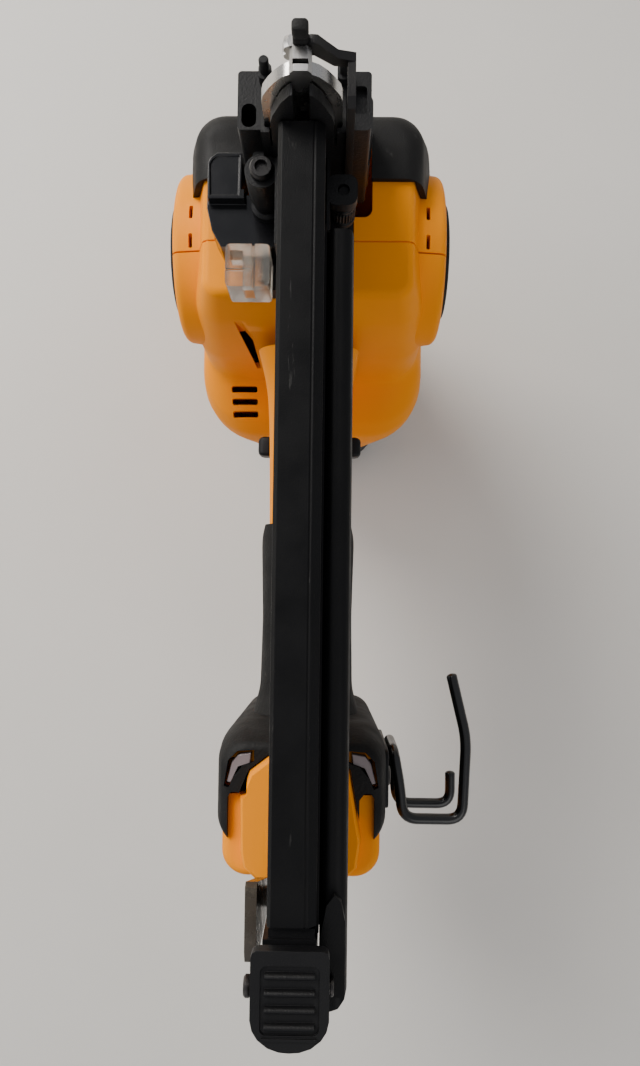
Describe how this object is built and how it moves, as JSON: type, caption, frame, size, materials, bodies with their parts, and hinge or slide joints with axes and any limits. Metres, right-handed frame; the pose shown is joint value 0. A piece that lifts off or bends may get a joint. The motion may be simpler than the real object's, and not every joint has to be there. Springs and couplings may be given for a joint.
{
  "type": "brad nailer",
  "caption": "Cordless brad nailer standing nose up on its cap, with a side magazine, sliding cover, contact trip, jam door, trigger and belt hook.",
  "frame": {"origin": "where the driver axis meets the flat of the top cap, on which the tool stands upside down", "axes": "+Z is the way the brad leaves, towards the nose tip; +Y is the front of the tool, away from the handle; +X is the belt hook side"},
  "size_m": [0.1161, 0.2984, 0.302],
  "materials": {
    "yellow_housing": "satin moulded glass-filled nylon, warm yellow",
    "black_plastic": "fine textured moulded plastic",
    "black_rubber": "soft overmoulded rubber, matte",
    "natural_rubber": "dense bumper rubber",
    "black_cast": "black coated light-alloy casting",
    "black_anodised": "black anodised extrusion, satin",
    "steel": "ground steel",
    "dark_steel": "black oxide steel",
    "clear_plastic": "clear moulded plastic",
    "led_lens": "frosted lens",
    "smoked_plastic": "smoked brown plastic",
    "copper": "wound copper",
    "board_green": "circuit board"
  },
  "bodies": {
    "tool_body": {"housing_left": "yellow_housing", "housing_right": "yellow_housing", "top_cap": "black_plastic", "front_bumper": "black_rubber", "badge_left": "black_rubber", "badge_right": "black_rubber", "grip_overmould": "black_rubber", "lamp_lens_left": "led_lens", "lamp_lens_right": "led_lens", "terminal_block": "black_plastic", "control_board": "board_green", "belt_hook": "black_plastic", "hook_plate": "black_plastic", "hook_screw": "dark_steel", "frame_casting": "black_cast", "bearing_left": "steel", "bearing_right": "steel", "motor_stator": "copper", "guide_rail_left": "steel", "guide_rail_right": "steel", "return_spring_left": "steel", "return_spring_right": "steel", "rail_end_block": "natural_rubber", "arm_pivot_pin": "dark_steel", "solenoid_body": "dark_steel", "trigger_pin": "dark_steel", "trigger_switch": "black_plastic", "trigger_spring": "steel", "nosepiece": "steel", "nose_screw": "dark_steel", "trip_spring": "steel", "side_pod": "black_plastic", "spare_pad": "clear_plastic", "magazine_track": "black_anodised", "tail_bracket": "smoked_plastic", "housing_screw_rear": "dark_steel", "housing_screw_front": "dark_steel", "housing_screw_foot": "dark_steel"},
    "flywheel": {"flywheel_rotor": "dark_steel", "motor_shaft": "steel"},
    "driver": {"driver_carriage": "dark_steel", "driver_blade": "steel"},
    "roller_arm_body": {"roller_arm": "black_cast", "roller_pin": "dark_steel"},
    "roller": {"pinch_roller": "steel"},
    "plunger": {"solenoid_plunger": "steel"},
    "trigger_lever": {"trigger": "black_plastic"},
    "lock_off": {"lock_off_bar": "black_plastic"},
    "trip": {"contact_trip": "dark_steel", "no_mar_tip": "black_rubber"},
    "depth_adjuster": {"depth_wheel": "black_plastic"},
    "nose_door": {"jam_door": "steel"},
    "door_latch": {"jam_latch": "dark_steel"},
    "cover": {"magazine_cover": "black_anodised", "magazine_end": "black_plastic", "latch_pin": "dark_steel", "pusher_spring": "steel"},
    "pusher_body": {"pusher": "steel"},
    "tail_latch": {"magazine_latch": "black_plastic"},
    "stall_release": {"stall_lever": "black_plastic"}
  },
  "joints": [
    {"name": "flywheel_spin", "type": "hinge", "parent": "tool_body", "child": "flywheel", "pos_m": [0, -0.022, 0.152], "axis": [1, 0, 0], "continuous": true},
    {"name": "driver_slide", "type": "slide", "parent": "tool_body", "child": "driver", "axis": [0, 0, 1], "range_m": [0, 0.072], "stiffness_N_per_m": 60, "springref_m": -0.02, "deforming": ["return_spring_left", "return_spring_right"]},
    {"name": "roller_arm_swing", "type": "hinge", "parent": "tool_body", "child": "roller_arm_body", "pos_m": [0, 0.0145, 0.188], "axis": [1, 0, 0], "range_deg": [0, 3.5]},
    {"name": "pinch_roller_spin", "type": "hinge", "parent": "roller_arm_body", "child": "roller", "pos_m": [0, 0.0135, 0.152], "axis": [1, 0, 0], "continuous": true},
    {"name": "solenoid_slide", "type": "slide", "parent": "tool_body", "child": "plunger", "axis": [0, 1, 0], "range_m": [0, 0.0022]},
    {"name": "trigger_pull", "type": "hinge", "parent": "tool_body", "child": "trigger_lever", "pos_m": [0, -0.0815, 0.171], "axis": [1, 0, 0], "range_deg": [0, 9], "stiffness_Nm_per_rad": 0.4, "springref_deg": -9.74, "deforming": ["trigger_spring"]},
    {"name": "lock_off_slide", "type": "slide", "parent": "tool_body", "child": "lock_off", "axis": [1, 0, 0], "range_m": [-0.0025, 0.0025]},
    {"name": "contact_trip_slide", "type": "slide", "parent": "tool_body", "child": "trip", "axis": [0, 0, -1], "range_m": [0, 0.006], "stiffness_N_per_m": 800, "springref_m": -0.004, "deforming": ["trip_spring"]},
    {"name": "depth_wheel_turn", "type": "hinge", "parent": "tool_body", "child": "depth_adjuster", "pos_m": [0.012, -0.0172, 0.24], "axis": [0, 0, 1], "continuous": true},
    {"name": "jam_door_swing", "type": "hinge", "parent": "tool_body", "child": "nose_door", "pos_m": [0, 0.0042, 0.241], "axis": [-1, 0, 0], "range_deg": [0, 65]},
    {"name": "jam_latch_swing", "type": "hinge", "parent": "nose_door", "child": "door_latch", "pos_m": [0, 0.0061, 0.268], "axis": [1, 0, 0], "range_deg": [0, 50]},
    {"name": "magazine_slide", "type": "slide", "parent": "tool_body", "child": "cover", "axis": [0, -1, 0], "range_m": [0, 0.15]},
    {"name": "pusher_slide", "type": "slide", "parent": "cover", "child": "pusher_body", "axis": [0, -1, 0], "range_m": [0, 0.14], "stiffness_N_per_m": 20, "springref_m": -0.2},
    {"name": "tail_latch_press", "type": "hinge", "parent": "cover", "child": "tail_latch", "pos_m": [0, -0.2426, 0.276], "axis": [1, 0, 0], "range_deg": [0, 9], "stiffness_Nm_per_rad": 0.3, "springref_deg": -11.46},
    {"name": "stall_lever_swing", "type": "hinge", "parent": "tool_body", "child": "stall_release", "pos_m": [0, -0.046, 0.015], "axis": [1, 0, 0], "range_deg": [-9, 9], "stiffness_Nm_per_rad": 0.3}
  ],
  "couplings": [
    {"joint": "solenoid_slide", "follows": "roller_arm_swing", "m_per_rad": 0.036}
  ]
}
